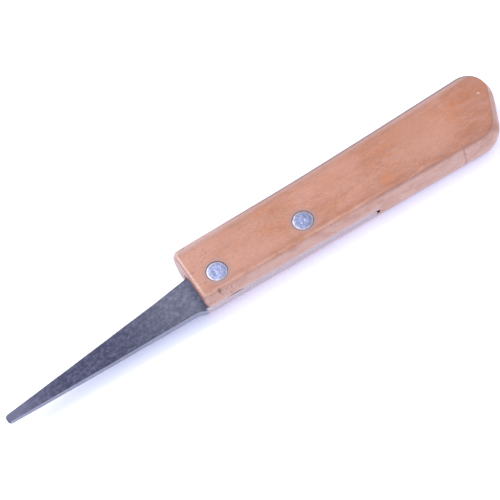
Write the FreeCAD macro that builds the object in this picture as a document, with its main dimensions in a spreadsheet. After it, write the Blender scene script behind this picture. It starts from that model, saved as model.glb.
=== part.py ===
import FreeCAD, Part
import math
import os
import Sketcher

# A farrier's hoof knife: a short tapered steel blade whose half tang sits in a saw kerf
# in a one-piece wooden handle, held by two flat-headed compression rivets.
#
# The knife is drawn about its own handle: X runs from the blade's tip towards the butt with
# X = 0 at the handle's front end, +Y is the cutting edge's side, -Y the spine's side, and
# Z = 0 is the middle of the handle's thickness. At the end every piece gets the same
# Placement, which sets the knife on its broad face with its origin under its middle.

doc = FreeCAD.newDocument("hoof_knife")

# Driving dimensions, in millimetres and degrees.
DIMENSIONS = [
    ("handle_length", 126.2, "front end to the furthest point of the butt"),
    ("handle_thick", 12.0, "between the two flat broad faces"),
    ("front_width", 25.4, "handle's full width at its front end"),
    ("flare_radius", 3300.0, "sweep of the long sides, which widen towards the butt"),
    ("butt_corner", 9.4, "butt corner on the cutting edge's side"),
    ("butt_heel", 11.0, "butt corner on the spine's side"),
    ("butt_slant", 28.0, "butt end, away from square"),
    ("side_slope", 30.0, "handle's sides, away from upright where they meet the broad faces"),
    ("side_round", 7.5, "radius of the sides' rounded crest"),
    ("front_corner", 2.2, "handle's front corners, seen from above"),
    ("face_arris", 0.7, "eased edge round each broad face"),
    ("front_stock", 8.0, "wood left in front and sawn off square"),
    ("kerf_width", 3.1, "saw kerf that takes the tang"),
    ("kerf_line", 3.4, "kerf's bottom, past the handle's middle line"),
    ("kerf_length", 67.1, "front end to where the kerf runs out on the spine's side"),
    ("saw_radius", 60.0, "saw that cut the kerf"),
    ("saw_pass", 20.0, "how far saw cuts are drawn past the wood"),
    ("kerf_pass", 5.0, "how far the kerf is drawn past its run-out"),
    ("tang_thick", 3.0, "steel at the tang and shoulder"),
    ("tang_gap", 0.5, "tang's inner edge to the kerf's bottom"),
    ("tang_length", 66.4, "front end to the tang's end"),
    ("tang_front", 12.6, "tang's spine edge from the middle line, flush with the handle's side"),
    ("tang_rear", 13.2, "the same at the tang's end"),
    ("blade_reach", 75.0, "tip to the handle's front end"),
    ("edge_front", 2.9, "cutting edge above the middle line, at the handle"),
    ("edge_middle", -1.65, "the same half way along the blade"),
    ("edge_tip", -6.0, "the same at the tip"),
    ("spine_front", 11.05, "spine below the middle line, behind the shoulder"),
    ("spine_middle", 10.3, "the same half way along the blade"),
    ("spine_tip", 9.2, "the same at the tip"),
    ("shoulder_run", 4.0, "length of the spine's flare into the tang"),
    ("shoulder_edge", 2.0, "cutting edge's thickness in front of the shoulder"),
    ("bevel_run", 13.0, "handle to where the edge is at its full thinness"),
    ("spine_thick", 2.5, "spine half way along the blade"),
    ("tip_thick", 2.2, "spine at the tip"),
    ("edge_thick", 0.5, "blunt width of the cutting edge"),
    ("tip_round", 0.9, "rounded corners of the blunt tip"),
    ("rivet_front_reach", 9.0, "front end to the front rivet"),
    ("rivet_pitch", 33.8, "front rivet to rear rivet"),
    ("rivet_front_line", 3.7, "front rivet below the middle line"),
    ("rivet_rear_line", 4.1, "rear rivet below the middle line"),
    ("head_width", 7.2, "rivet head's diameter"),
    ("head_thick", 1.1, "rivet head's thickness"),
    ("head_bevel", 0.35, "bevel round the rivet head"),
    ("head_sink", 0.1, "rivet head below the wood"),
    ("seat_gap", 0.1, "round the rivet head in its seat"),
    ("shell_width", 4.4, "hollow rivet's shank, outside"),
    ("pin_width", 3.0, "solid rivet's shank"),
    ("bore_gap", 0.05, "round the hollow shank in wood and tang"),
    ("pin_gap", 0.01, "round the solid shank in the hollow one"),
    ("shell_reach", 9.3, "hollow shank's length under its head"),
    ("pin_reach", 8.4, "solid shank's length under its head"),
]

sheet = doc.addObject("Spreadsheet::Sheet", "dims")
for row, (alias, amount, meaning) in enumerate(DIMENSIONS, start=1):
    sheet.set("A%d" % row, meaning)
    sheet.set("B%d" % row, str(amount))
    sheet.setAlias("B%d" % row, alias)
doc.recompute()


def size(alias):
    """The value of one driving dimension."""
    return float(sheet.get(alias))


# How far the sharp crest of the side's two slopes lies outside the rounded one.
CREST = "dims.side_round * (1 / cos(dims.side_slope * 1 deg) - 1)"
crest = size("side_round") * (1 / math.cos(math.radians(size("side_slope"))) - 1)

AXIS = -1          # geometry index of a sketch's own axes; point 1 is the origin
START, END, CENTRE = 1, 2, 3
FIRST_GUESS = 2.0  # rough size of a shape before its dimensions are set
TOUCHING = 1e-3    # two places this close, in millimetres, are the same
NO_CHANGE = 1e-6   # a smaller change in volume, in cubic millimetres, is none


def new_body(label):
    body = doc.addObject("PartDesign::Body", label)
    body.Label = label
    return body


def new_sketch(body, name, role, height=None):
    """A sketch on one of the body's own origin planes, lifted off it by an expression."""
    sketch = body.newObject("Sketcher::SketchObject", name)
    plane = next(item for item in body.Origin.OriginFeatures if item.Role == role)
    sketch.AttachmentSupport = [(plane, "")]
    sketch.MapMode = "FlatFace"
    if height is not None:
        sketch.setExpression("AttachmentOffset.Base.z", height)
    return sketch


def bind(sketch, kind, elements, amount, expression):
    """One dimension in a sketch, driven by an expression."""
    index = sketch.addConstraint(Sketcher.Constraint(kind, *elements, amount))
    sketch.setExpression("Constraints[%d]" % index, expression)


def place(sketch, element, point, spot, across, up):
    """Put a sketch point at a place given by two expressions."""
    bind(sketch, "DistanceX", (AXIS, 1, element, point), spot[0], across)
    bind(sketch, "DistanceY", (AXIS, 1, element, point), spot[1], up)


def polygon(sketch, corners):
    """A closed outline of straight lines through (x expression, y expression) corners."""
    count = len(corners)
    spots = []
    for index in range(count):
        turn = 2 * math.pi * index / count
        spot = FreeCAD.Vector(math.cos(turn), math.sin(turn), 0) * FIRST_GUESS
        spots.append(spot)
    for index in range(count):
        following = spots[(index + 1) % count]
        sketch.addGeometry(Part.LineSegment(spots[index], following))
    for index in range(count):
        previous = (index - 1) % count
        sketch.addConstraint(Sketcher.Constraint("Coincident", previous, END, index, START))
    for index, (across, up) in enumerate(corners):
        place(sketch, index, START, spots[index], across, up)


def circle(sketch, across, up, radius):
    middle = FreeCAD.Vector(FIRST_GUESS, FIRST_GUESS, 0)
    sketch.addGeometry(Part.Circle(middle, FreeCAD.Vector(0, 0, 1), FIRST_GUESS))
    place(sketch, 0, CENTRE, middle, across, up)
    bind(sketch, "Radius", (0,), FIRST_GUESS, radius)


def arc_between(centre, start, end, clockwise=False):
    """The arc about a centre from one point to another."""
    radius = (start - centre).Length
    first = math.atan2(start.y - centre.y, start.x - centre.x)
    last = math.atan2(end.y - centre.y, end.x - centre.x)
    if clockwise:
        first, last = last, first
    ring = Part.Circle(centre, FreeCAD.Vector(0, 0, 1), radius)
    return Part.ArcOfCircle(ring, first, last)


def cut(body, name, sketch, depth=None, reverse=False):
    """A pocket that has to take material away: right through, or one way to a depth."""
    before = body.Shape.Volume
    pocket = body.newObject("PartDesign::Pocket", name)
    pocket.Profile = sketch
    if depth is None:
        pocket.Type = "ThroughAll"
        pocket.SideType = "Symmetric"
    else:
        pocket.Reversed = reverse
        pocket.setExpression("Length", depth)
    doc.recompute()
    if not body.Shape.Volume < before - NO_CHANGE:
        raise RuntimeError(name + " cuts nothing")
    return pocket


def edges_where(shape, test):
    """Names of the edges whose middle and two ends all pass a test."""
    names = []
    for index, edge in enumerate(shape.Edges, start=1):
        points = [edge.valueAt(edge.FirstParameter), edge.valueAt(edge.LastParameter)]
        points.append(edge.valueAt((edge.FirstParameter + edge.LastParameter) / 2))
        if all(test(point) for point in points):
            names.append("Edge%d" % index)
    return names


def round_edges(body, name, test, radius):
    """A fillet on every edge of the body's tip that passes a test."""
    tip = body.Tip
    names = edges_where(tip.Shape, test)
    if not names:
        raise RuntimeError(name + " finds no edge")
    fillet = body.newObject("PartDesign::Fillet", name)
    fillet.Base = (tip, names)
    fillet.setExpression("Radius", radius)
    doc.recompute()
    return fillet


# ---------------------------------------------------------------- handle

def handle_outline(sketch):
    """Crest outline of the handle: two long swept sides, a slanted butt and its two corners."""
    sweep = size("flare_radius")
    half = size("front_width") / 2 + crest
    corner = size("butt_corner") + crest
    heel = size("butt_heel") + crest
    slant = math.radians(size("butt_slant"))
    front = -size("front_stock")
    out = FreeCAD.Vector(math.cos(slant), -math.sin(slant), 0)
    down = FreeCAD.Vector(-math.sin(slant), -math.cos(slant), 0)
    edge_centre = FreeCAD.Vector(0, half + sweep, 0)
    spine_centre = FreeCAD.Vector(0, -half - sweep, 0)
    corner_x = size("handle_length") - size("butt_corner")
    corner_y = edge_centre.y - math.sqrt((sweep + corner) ** 2 - corner_x ** 2)
    corner_centre = FreeCAD.Vector(corner_x, corner_y, 0)
    edge_end = edge_centre + (corner_centre - edge_centre) * (sweep / (sweep + corner))
    butt_start = corner_centre + out * corner
    inner = butt_start - out * heel
    lean = (inner - spine_centre).dot(down)
    gap = (inner - spine_centre).Length ** 2 - (sweep + heel) ** 2
    heel_centre = inner + down * (-lean - math.sqrt(lean ** 2 - gap))
    butt_end = heel_centre + out * heel
    spine_end = spine_centre + (heel_centre - spine_centre) * (sweep / (sweep + heel))
    sag = sweep - math.sqrt(sweep ** 2 - front ** 2)
    edge_start = FreeCAD.Vector(front, half + sag, 0)
    spine_start = FreeCAD.Vector(front, -half - sag, 0)

    sketch.addGeometry(Part.LineSegment(spine_start, edge_start))
    sketch.addGeometry(arc_between(edge_centre, edge_start, edge_end))
    sketch.addGeometry(arc_between(corner_centre, butt_start, edge_end))
    sketch.addGeometry(Part.LineSegment(butt_start, butt_end))
    sketch.addGeometry(arc_between(heel_centre, spine_end, butt_end))
    sketch.addGeometry(arc_between(spine_centre, spine_end, spine_start))
    front_line, edge_side, corner_arc, butt_line, heel_arc, spine_side = range(6)

    join = [
        ("Coincident", front_line, END, edge_side, START),
        ("Tangent", edge_side, END, corner_arc, END),
        ("Tangent", corner_arc, START, butt_line, START),
        ("Tangent", butt_line, END, heel_arc, END),
        ("Tangent", heel_arc, START, spine_side, START),
        ("Coincident", spine_side, END, front_line, START),
        ("Vertical", front_line),
    ]
    for kind, *elements in join:
        sketch.addConstraint(Sketcher.Constraint(kind, *elements))
    half_rule = "(dims.front_width / 2 + %s + dims.flare_radius)" % CREST
    place(sketch, edge_side, CENTRE, (0.0, edge_centre.y), "0", half_rule)
    place(sketch, spine_side, CENTRE, (0.0, spine_centre.y), "0", "-" + half_rule)
    bind(sketch, "Radius", (edge_side,), sweep, "dims.flare_radius")
    bind(sketch, "Radius", (spine_side,), sweep, "dims.flare_radius")
    bind(sketch, "Radius", (corner_arc,), corner, "dims.butt_corner + " + CREST)
    bind(sketch, "Radius", (heel_arc,), heel, "dims.butt_heel + " + CREST)
    bind(sketch, "DistanceX", (AXIS, 1, corner_arc, CENTRE), corner_x,
         "dims.handle_length - dims.butt_corner")
    bind(sketch, "DistanceX", (AXIS, 1, front_line, START), front, "-dims.front_stock")
    bind(sketch, "Angle", (butt_line,), math.radians(-90 - size("butt_slant")),
         "-(90 + dims.butt_slant) * 1 deg")


handle = new_body("handle")
outline = new_sketch(handle, "handle_outline", "XY_Plane")
handle_outline(outline)
doc.recompute()
blank = handle.newObject("PartDesign::Pad", "handle_blank")
blank.Profile = outline
blank.SideType = "Symmetric"
blank.setExpression("Length", "dims.handle_thick")
blank.setExpression("TaperAngle", "-dims.side_slope")
doc.recompute()

half_thick = size("handle_thick") / 2
half_front = size("front_width") / 2


def on_crest(point):
    """On the sharp crest where the two slopes of a side meet, at mid thickness."""
    return abs(point.z) < TOUCHING


def at_front_corner(point):
    """On one of the upright edges at the two ends of the sawn front."""
    return abs(point.x) < TOUCHING and abs(point.y) > half_front / 2


def on_broad_face(point):
    return abs(abs(point.z) - half_thick) < TOUCHING


round_edges(handle, "rounded_sides", on_crest, "dims.side_round")

front_saw = new_sketch(handle, "front_saw", "XY_Plane")
polygon(front_saw, [
    ("0", "-dims.saw_pass"), ("0", "dims.saw_pass"),
    ("-dims.saw_pass", "dims.saw_pass"), ("-dims.saw_pass", "-dims.saw_pass"),
])
cut(handle, "square_front", front_saw)

round_edges(handle, "front_corners", at_front_corner, "dims.front_corner")
round_edges(handle, "eased_edges", on_broad_face, "dims.face_arris")

# The saw comes in from the front and from the spine's side, and its round blade runs out
# of the wood part way back.
SAW_ACROSS = ("(dims.kerf_length - sqrt(dims.saw_radius ^ 2"
              " - (dims.saw_radius - dims.kerf_line - dims.front_width / 2) ^ 2))")
SAW_UP = "(dims.kerf_line - dims.saw_radius)"


def saw_centre():
    rise = size("saw_radius") - size("kerf_line") - half_front
    across = size("kerf_length") - math.sqrt(size("saw_radius") ** 2 - rise ** 2)
    return FreeCAD.Vector(across, size("kerf_line") - size("saw_radius"), 0)


def sawn_outline(sketch, radius, radius_rule, front, front_rule, low, low_rule, end, end_rule):
    """Straight from the front, then round the saw's arc, down to a square end and back.

    low is the pair of heights of the spine side's two corners, at the end and at the front.
    """
    centre = saw_centre()
    top = centre.y + radius
    turn = FreeCAD.Vector(centre.x, top, 0)
    run_out = FreeCAD.Vector(end, centre.y + math.sqrt(radius ** 2 - (end - centre.x) ** 2), 0)
    corners = [
        FreeCAD.Vector(front, top, 0), turn, run_out,
        FreeCAD.Vector(end, low[0], 0), FreeCAD.Vector(front, low[1], 0),
    ]
    sketch.addGeometry(Part.LineSegment(corners[0], corners[1]))
    sketch.addGeometry(arc_between(centre, run_out, turn))
    sketch.addGeometry(Part.LineSegment(corners[2], corners[3]))
    sketch.addGeometry(Part.LineSegment(corners[3], corners[4]))
    sketch.addGeometry(Part.LineSegment(corners[4], corners[0]))
    line, arc, end_line, spine_line, front_line = range(5)
    for kind, *elements in [
            ("Tangent", line, END, arc, END),
            ("Coincident", arc, START, end_line, START),
            ("Coincident", end_line, END, spine_line, START),
            ("Coincident", spine_line, END, front_line, START),
            ("Coincident", front_line, END, line, START),
            ("Vertical", end_line),
            ("Vertical", front_line)]:
        sketch.addConstraint(Sketcher.Constraint(kind, *elements))
    place(sketch, arc, CENTRE, (centre.x, centre.y), SAW_ACROSS, SAW_UP)
    bind(sketch, "Radius", (arc,), radius, radius_rule)
    place(sketch, end_line, END, (end, low[0]), end_rule, low_rule[0])
    place(sketch, spine_line, END, (front, low[1]), front_rule, low_rule[1])


kerf = new_sketch(handle, "kerf", "XY_Plane")
outside = -size("saw_pass")
OUTSIDE = "-dims.saw_pass"
sawn_outline(kerf, size("saw_radius"), "dims.saw_radius", outside, OUTSIDE,
             (outside, outside), (OUTSIDE, OUTSIDE),
             size("kerf_length") + size("kerf_pass"), "dims.kerf_length + dims.kerf_pass")
doc.recompute()
uncut_wood = handle.Shape.Volume
saw_cut = handle.newObject("PartDesign::Pocket", "tang_kerf")
saw_cut.Profile = kerf
saw_cut.SideType = "Symmetric"
saw_cut.setExpression("Length", "dims.kerf_width")
doc.recompute()
if not handle.Shape.Volume < uncut_wood - NO_CHANGE:
    raise RuntimeError("the saw kerf cuts nothing")

RIVETS = [
    ("front", "dims.rivet_front_reach", "-dims.rivet_front_line"),
    ("rear", "dims.rivet_front_reach + dims.rivet_pitch", "-dims.rivet_rear_line"),
]
BORE = "dims.shell_width / 2 + dims.bore_gap"
SEAT = "dims.head_width / 2 + dims.seat_gap"

for place_name, across, up in RIVETS:
    bore = new_sketch(handle, place_name + "_bore", "XY_Plane")
    circle(bore, across, up, BORE)
    cut(handle, place_name + "_rivet_bore", bore)
    for side, sign in (("upper", ""), ("lower", "-")):
        seat = new_sketch(handle, place_name + "_" + side + "_seat", "XY_Plane",
                          sign + "dims.handle_thick / 2")
        circle(seat, across, up, SEAT)
        doc.recompute()
        cut(handle, place_name + "_" + side + "_recess", seat,
            "dims.head_thick + dims.head_sink", side == "lower")


# ---------------------------------------------------------------- blade and tang

blade = new_body("blade")
tang_plan = new_sketch(blade, "tang_plan", "XY_Plane")
tang_round = size("saw_radius") - size("tang_gap")
sawn_outline(tang_plan, tang_round, "dims.saw_radius - dims.tang_gap", 0.0, "0",
             (-size("tang_rear"), -size("tang_front")), ("-dims.tang_rear", "-dims.tang_front"),
             size("tang_length"), "dims.tang_length")
tang = blade.newObject("PartDesign::Pad", "tang")
tang.Profile = tang_plan
tang.SideType = "Symmetric"
tang.setExpression("Length", "dims.tang_thick")
doc.recompute()


def along(front, middle, reach):
    """A size part way from the handle to the blade's middle, on a straight line."""
    return "(%s + (%s - %s) * %s / (dims.blade_reach / 2))" % (front, middle, front, reach)


EDGE_TOP = "(dims.kerf_line - dims.tang_gap)"
SHOULDER = "dims.shoulder_run"
BEVEL = "dims.bevel_run"
# Each section: distance from the handle, spine, cutting edge, and half thickness at both.
SECTIONS = [
    ("0", "dims.tang_front", EDGE_TOP, "dims.tang_thick / 2", "dims.tang_thick / 2"),
    (SHOULDER, "dims.spine_front", along("dims.edge_front", "dims.edge_middle", SHOULDER),
     "dims.tang_thick / 2", "dims.shoulder_edge / 2"),
    (BEVEL, along("dims.spine_front", "dims.spine_middle", BEVEL),
     along("dims.edge_front", "dims.edge_middle", BEVEL),
     along("dims.tang_thick", "dims.spine_thick", BEVEL) + " / 2", "dims.edge_thick / 2"),
    ("dims.blade_reach / 2", "dims.spine_middle", "dims.edge_middle",
     "dims.spine_thick / 2", "dims.edge_thick / 2"),
    ("dims.blade_reach", "dims.spine_tip", "dims.edge_tip",
     "dims.tip_thick / 2", "dims.edge_thick / 2"),
]
sections = []
for number, (reach, spine, edge, spine_half, edge_half) in enumerate(SECTIONS):
    section = new_sketch(blade, "blade_section_%d" % number, "YZ_Plane", "-" + reach)
    polygon(section, [
        ("-" + spine, "-" + spine_half), (edge, "-" + edge_half),
        (edge, edge_half), ("-" + spine, spine_half),
    ])
    sections.append(section)
doc.recompute()
grind = blade.newObject("PartDesign::AdditiveLoft", "ground_blade")
grind.Profile = sections[0]
grind.Sections = sections[1:]
grind.Ruled = True
doc.recompute()


def at_tip_corner(point):
    """On one of the two upright edges at the very tip."""
    at_tip = abs(point.x + size("blade_reach")) < TOUCHING
    from_corner = min(abs(point.y + size("spine_tip")), abs(point.y - size("edge_tip")))
    return at_tip and from_corner < TOUCHING


round_edges(blade, "blunt_tip", at_tip_corner, "dims.tip_round")
for place_name, across, up in RIVETS:
    hole = new_sketch(blade, place_name + "_tang_hole", "XY_Plane")
    circle(hole, across, up, BORE)
    cut(blade, place_name + "_tang_bore", hole)


# ---------------------------------------------------------------- rivets

def turned_piece(label, corners, bevel_test):
    """A piece turned about Z from a half section drawn in the XZ plane."""
    body = new_body(label)
    half_section = new_sketch(body, label + "_section", "XZ_Plane")
    polygon(half_section, corners)
    turned = body.newObject("PartDesign::Revolution", label + "_turned")
    turned.Profile = half_section
    turned.ReferenceAxis = (half_section, ["V_Axis"])
    doc.recompute()
    bevel = body.newObject("PartDesign::Chamfer", label + "_bevel")
    bevel.Base = (turned, edges_where(turned.Shape, bevel_test))
    bevel.setExpression("Size", "dims.head_bevel")
    doc.recompute()
    return body


def head_rim(point):
    """The outer rim of a rivet head, which lies at height 0 in the rivet's own drawing."""
    reach = math.hypot(point.x, point.y)
    return abs(point.z) < TOUCHING and abs(reach - size("head_width") / 2) < TOUCHING


HEAD = "dims.head_width / 2"
PIN = "dims.pin_width / 2"
SHELL = "dims.shell_width / 2"
SOCKET = "dims.pin_width / 2 + dims.pin_gap"
pieces = [handle, blade]
lie = {}
for place_name, across, up in RIVETS:
    shell = turned_piece(place_name + "_rivet_shell", [
        ("0", "0"), (HEAD, "0"), (HEAD, "dims.head_thick"), (SHELL, "dims.head_thick"),
        (SHELL, "dims.head_thick + dims.shell_reach"),
        (SOCKET, "dims.head_thick + dims.shell_reach"), (SOCKET, "dims.head_thick"),
        ("0", "dims.head_thick"),
    ], head_rim)
    pin = turned_piece(place_name + "_rivet_pin", [
        ("0", "0"), (HEAD, "0"), (HEAD, "-dims.head_thick"), (PIN, "-dims.head_thick"),
        (PIN, "-(dims.head_thick + dims.pin_reach)"),
        ("0", "-(dims.head_thick + dims.pin_reach)"),
    ], head_rim)
    for piece, sign in ((shell, "-"), (pin, "")):
        lie[piece.Label] = (across, up, sign + "(dims.handle_thick / 2 - dims.head_sink)")
        pieces.append(piece)


# ---------------------------------------------------------------- placing and writing

# The row's origin is under the middle of the whole knife, which lies on its broad face.
MIDDLE = "(dims.handle_length - dims.blade_reach) / 2"
FLOOR = "-dims.handle_thick / 2"
for piece in pieces:
    across, up, height = lie.get(piece.Label, ("0", "0", "0"))
    piece.setExpression("Placement.Base.x", "%s - %s" % (across, MIDDLE))
    piece.setExpression("Placement.Base.y", up)
    piece.setExpression("Placement.Base.z", "%s - %s" % (height, FLOOR))
doc.recompute()

for item in doc.Objects:
    if "Invalid" in item.State or "Error" in item.State:
        raise RuntimeError("%s failed: %s" % (item.Label, item.State))
for piece in pieces:
    shape = piece.Shape
    if shape.isNull() or not shape.isValid() or len(shape.Solids) != 1:
        raise RuntimeError(piece.Label + " has no single valid solid")

os.makedirs("parts", exist_ok=True)
for piece in pieces:
    piece.Shape.exportStep("parts/%s.step" % piece.Label)
    box = piece.Shape.optimalBoundingBox()
    print("%-18s %9.1f mm3  x %7.2f %7.2f  y %7.2f %7.2f  z %6.2f %6.2f" % (
        piece.Label, piece.Shape.Volume, box.XMin, box.XMax, box.YMin, box.YMax,
        box.ZMin, box.ZMax))
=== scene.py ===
import math

import bmesh
import bpy
import numpy as np
from mathutils import Matrix, Vector, noise
from mathutils.kdtree import KDTree


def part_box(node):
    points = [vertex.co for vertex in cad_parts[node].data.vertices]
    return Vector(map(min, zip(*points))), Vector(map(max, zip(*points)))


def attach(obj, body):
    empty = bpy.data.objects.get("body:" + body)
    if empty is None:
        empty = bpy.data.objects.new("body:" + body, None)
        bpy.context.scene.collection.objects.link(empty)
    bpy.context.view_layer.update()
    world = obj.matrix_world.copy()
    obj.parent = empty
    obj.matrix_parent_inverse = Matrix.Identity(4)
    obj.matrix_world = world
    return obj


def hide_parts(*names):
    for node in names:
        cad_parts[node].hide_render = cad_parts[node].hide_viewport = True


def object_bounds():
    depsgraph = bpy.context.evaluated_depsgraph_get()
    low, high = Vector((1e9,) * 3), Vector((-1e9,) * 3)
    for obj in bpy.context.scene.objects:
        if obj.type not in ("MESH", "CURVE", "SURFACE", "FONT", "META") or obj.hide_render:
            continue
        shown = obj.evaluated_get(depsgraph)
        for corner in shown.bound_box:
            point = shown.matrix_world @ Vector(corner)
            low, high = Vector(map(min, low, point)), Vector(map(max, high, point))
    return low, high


# The looks of the hoof knife. Meshes are worked out in millimetres in the knife's drawing
# frame and go to the shared frame at the end: X = 0 at the handle's front end and grows
# towards the butt, +Y is the cutting edge's side, Z = 0 is the middle of the thickness.

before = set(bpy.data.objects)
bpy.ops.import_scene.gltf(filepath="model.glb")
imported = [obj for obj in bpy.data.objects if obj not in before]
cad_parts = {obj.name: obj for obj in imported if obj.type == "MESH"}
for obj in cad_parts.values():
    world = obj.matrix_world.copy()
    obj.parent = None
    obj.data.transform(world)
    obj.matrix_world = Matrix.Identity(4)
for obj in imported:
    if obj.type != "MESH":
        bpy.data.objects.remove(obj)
CAD_LOW, CAD_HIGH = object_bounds()
MM = 0.001


def node_box(node):
    """Lowest and highest corner of a CAD node, in millimetres in the shared frame."""
    return [np.array(corner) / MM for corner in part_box(node)]


HANDLE_LOW, HANDLE_HIGH = node_box("handle")
BLADE_LOW, BLADE_HIGH = node_box("blade")
DRAWING_ORIGIN = np.array([HANDLE_LOW[0], 0.0, (HANDLE_LOW[2] + HANDLE_HIGH[2]) / 2])

HANDLE_LENGTH = HANDLE_HIGH[0] - HANDLE_LOW[0]
HALF_THICK = (HANDLE_HIGH[2] - HANDLE_LOW[2]) / 2
TANG_HALF = (BLADE_HIGH[2] - BLADE_LOW[2]) / 2
BLADE_REACH = HANDLE_LOW[0] - BLADE_LOW[0]
TANG_LENGTH = BLADE_HIGH[0] - HANDLE_LOW[0]

# Design sizes that no box gives, in millimetres, the same as in the CAD sheet.
FRONT_HALF = 12.7
FLARE_RADIUS = 3300.0
BUTT_CORNER = 9.4
BUTT_HEEL = 11.0
BUTT_SLANT = math.radians(28.0)
SIDE_SLOPE = math.radians(30.0)
SIDE_ROUND = 7.5
FRONT_CORNER = 2.2
FACE_ARRIS = 0.7
KERF_HALF = 1.55
KERF_LINE = 3.4
KERF_LENGTH = 67.1
SAW_RADIUS = 60.0
TANG_GAP = 0.5
HEAD_THICK = 1.1
HEAD_SINK = 0.1
SEAT_GAP = 0.1
BORE_RADIUS = 2.25

RIVETS = {}
for place_name in ("front", "rear"):
    rivet_low, rivet_high = node_box(place_name + "_rivet_pin")
    RIVETS[place_name] = (rivet_low + rivet_high) / 2 - DRAWING_ORIGIN
HEAD_RADIUS = (rivet_high[0] - rivet_low[0]) / 2


def to_frame(points):
    """Drawing frame in millimetres to shared frame in metres."""
    return (np.asarray(points, float) + DRAWING_ORIGIN) * MM


def ripple(points, depth, wavelength, seed):
    """Smooth noise between -depth and depth at each point, with the given wavelength."""
    shift = Vector((seed * 13.7, seed * 5.3, seed * 9.1))
    return depth * np.array([noise.noise(Vector(point) / wavelength + shift) for point in points])


def smooth_step(low, high, value):
    """0 below low, 1 above high, with a soft change between."""
    part = np.clip((np.asarray(value, float) - low) / (high - low), 0.0, 1.0)
    return part * part * (3.0 - 2.0 * part)


# ---- mesh building

class Skin:
    """Grids of points, gathered and sewn into one closed mesh."""

    def __init__(self):
        self.points = []
        self.faces = []
        self.count = 0

    def grid(self, points, keep=None):
        """Quads over points[row, column]; keep(row, column) says which ones are wanted."""
        rows, columns = points.shape[:2]
        start = self.count
        self.points.append(points.reshape(-1, 3))
        self.count += rows * columns
        for row in range(rows - 1):
            for column in range(columns - 1):
                if keep is None or keep(row, column):
                    first = start + row * columns + column
                    self.faces.append((first, first + 1, first + columns + 1, first + columns))

    def make(self, name):
        """One object, its seams sewn and its faces turned outwards."""
        mesh = bpy.data.meshes.new(name)
        mesh.from_pydata(to_frame(np.concatenate(self.points)).tolist(), [], self.faces)
        work = bmesh.new()
        work.from_mesh(mesh)
        bmesh.ops.remove_doubles(work, verts=work.verts, dist=0.002 * MM)
        bmesh.ops.dissolve_degenerate(work, edges=work.edges, dist=0.001 * MM)
        bmesh.ops.recalc_face_normals(work, faces=work.faces)
        work.to_mesh(mesh)
        work.free()
        piece = bpy.data.objects.new(name, mesh)
        bpy.context.scene.collection.objects.link(piece)
        return piece


def coons(bottom, top, left, right):
    """Fill four boundary curves: bottom and top run along, left and right run across."""
    along = np.linspace(0.0, 1.0, len(bottom))[:, None, None]
    across = np.linspace(0.0, 1.0, len(left))[None, :, None]
    ruled = (1 - across) * bottom[:, None] + across * top[:, None]
    ruled = ruled + (1 - along) * left[None] + along * right[None]
    corners = (1 - along) * ((1 - across) * bottom[0] + across * top[0])
    corners = corners + along * ((1 - across) * bottom[-1] + across * top[-1])
    return ruled - corners


def shade(piece, sharp_angle):
    piece.data.shade_smooth()
    piece.data.set_sharp_from_angle(angle=math.radians(sharp_angle))


def paint(piece, name, values):
    """Store one number per point of a piece, for its material."""
    layer = piece.data.attributes.new(name, "FLOAT", "POINT")
    layer.data.foreach_set("value", np.asarray(values, np.float32))


def drawing_points(piece):
    """A piece's points back in the drawing frame, in millimetres."""
    found = np.empty(len(piece.data.vertices) * 3)
    piece.data.vertices.foreach_get("co", found)
    return found.reshape(-1, 3) / MM - DRAWING_ORIGIN


# ---- handle

FRONT_ARRIS = 1.15
KERF_ROWS = (0.93, 0.31, -0.31, -0.93)
LIP_ROW_GAP = 0.2

# Steps round the outline. The front and the butt have the same number in all, and so
# have the edge's side and the spine's side, because they bound the two broad faces.
TURN_STEPS = 4
FRONT_LOW_STEPS = 22
FRONT_HIGH_STEPS = 10
EDGE_STEPS = 200
CORNER_STEPS = 12
BUTT_STEPS = 22
HEEL_STEPS = 6
SPINE_STEPS = 90
HOLE_STEPS = 26
HOLE_ZONE = 3.5

# The saw's end hole, as gaps from the tang's end and from the kerf's run-out.
END_HOLE = 0.8
END_HOLE_DEPTH = 1.6
HOLE_OPENED = (-0.1, 0.2)
HOLE_CLOSED = (-0.25, -0.02)
HOLE_ROUND = 0.96
TANG_POINT = 1.6
RUN_OUT_BLEND = 6.0

# Wear and hand work; a pair is the depth and the wavelength of a ripple.
WORN_LIP = 0.03
FRONT_LEAN = 0.42
FRONT_LEAN_REACH = 55.0
CORNER_SANDED = 0.35
CORNER_REACH = 6.5
CHEEK_WEAR = 0.95
CHEEK_WEAR_REACH = 34.0
HAND_WAVES = (0.045, 9.0)
HAND_RIPPLES = (0.02, 3.1)
CHIP_START = 8.0
CHIP_END = 13.6
CHIP_SIDE = 1.0
CHIP_RISE = 0.4
CHIP_FADE = 3.0
SEAT_WORN = 0.12
CUTTER_CLEAR = 1.0
BORE_SEGMENTS = 72
SAW_CENTRE = np.array([
    KERF_LENGTH - math.sqrt(SAW_RADIUS ** 2 - (SAW_RADIUS - KERF_LINE - FRONT_HALF) ** 2),
    KERF_LINE - SAW_RADIUS,
])


def saw_line(x, radius=SAW_RADIUS):
    """Height of the kerf's bottom above the handle's middle line."""
    past = np.maximum(np.asarray(x, float) - SAW_CENTRE[0], 0.0)
    return SAW_CENTRE[1] + np.sqrt(radius ** 2 - past ** 2)


def arc(centre, radius, first, last, count):
    """count steps round a convex arc, as (x, y, outward x, outward y) rows."""
    angles = np.linspace(first, last, count + 1)
    outward = np.stack([np.cos(angles), np.sin(angles)], 1)
    return np.concatenate([centre + radius * outward, outward], 1)


def half_width(x):
    """Half the handle's width across its crests, which grows towards the butt."""
    return FRONT_HALF + FLARE_RADIUS - np.sqrt(FLARE_RADIUS ** 2 - x ** 2)


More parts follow.
